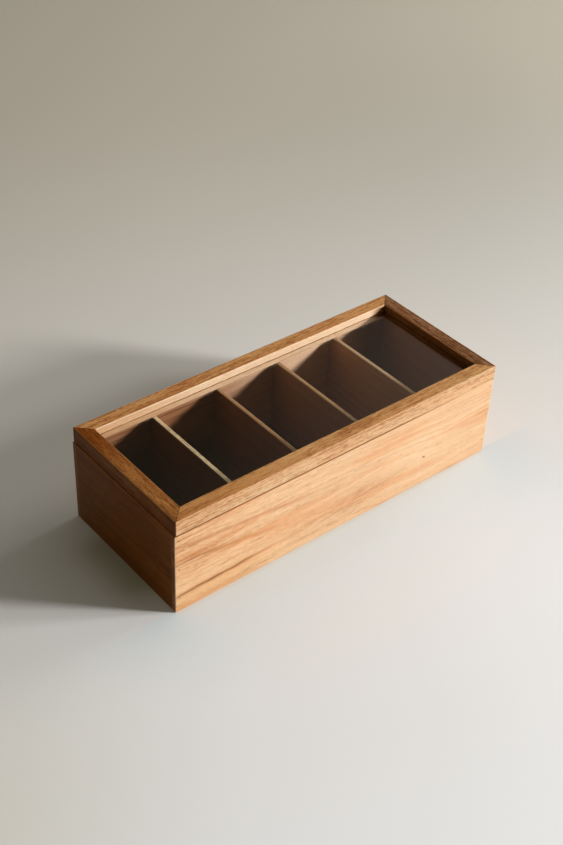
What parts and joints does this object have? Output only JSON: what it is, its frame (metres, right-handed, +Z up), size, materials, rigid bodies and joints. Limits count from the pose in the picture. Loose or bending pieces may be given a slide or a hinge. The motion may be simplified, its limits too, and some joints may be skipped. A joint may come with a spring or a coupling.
{
  "type": "tea bag organizer box",
  "caption": "Long low wooden box with equal upright compartments for tea bags under a hinged, mitred lid frame with a glass pane.",
  "frame": {"origin": "middle of the footprint, hinges included, on the surface it stands on", "axes": "+X along the box to the right end, +Y from the front to the hinged back, +Z up"},
  "size_m": [0.36, 0.1554, 0.099],
  "materials": {
    "board_wood": "oiled, fine straight grain",
    "end_wood": "oiled, fine straight grain",
    "divider_wood": "oiled, pale",
    "panel_wood": "oiled, dull",
    "rail_wood": "oiled, fine straight grain",
    "clear_glass": "polished",
    "brass": "satin",
    "steel": "plain"
  },
  "bodies": {
    "box": {"front_board": "board_wood", "back_board": "board_wood", "left_end_board": "end_wood", "right_end_board": "end_wood", "bottom_panel": "panel_wood", "divider_1": "divider_wood", "divider_2": "divider_wood", "divider_3": "divider_wood", "divider_4": "divider_wood", "corner_brads": "steel", "left_hinge_box_leaf": "brass", "left_hinge_pin": "brass", "right_hinge_box_leaf": "brass", "right_hinge_pin": "brass", "box_hinge_screws": "brass"},
    "lid": {"lid_front_rail": "rail_wood", "lid_back_rail": "rail_wood", "lid_left_rail": "rail_wood", "lid_right_rail": "rail_wood", "glass_pane": "clear_glass", "mitre_nails": "steel", "left_hinge_lid_leaf": "brass", "right_hinge_lid_leaf": "brass", "lid_hinge_screws": "brass"}
  },
  "joints": [
    {"name": "lid_hinge", "type": "hinge", "parent": "box", "child": "lid", "pos_m": [0, 0.07484, 0.084], "axis": [-1, 0, 0], "range_deg": [0, 100]}
  ]
}
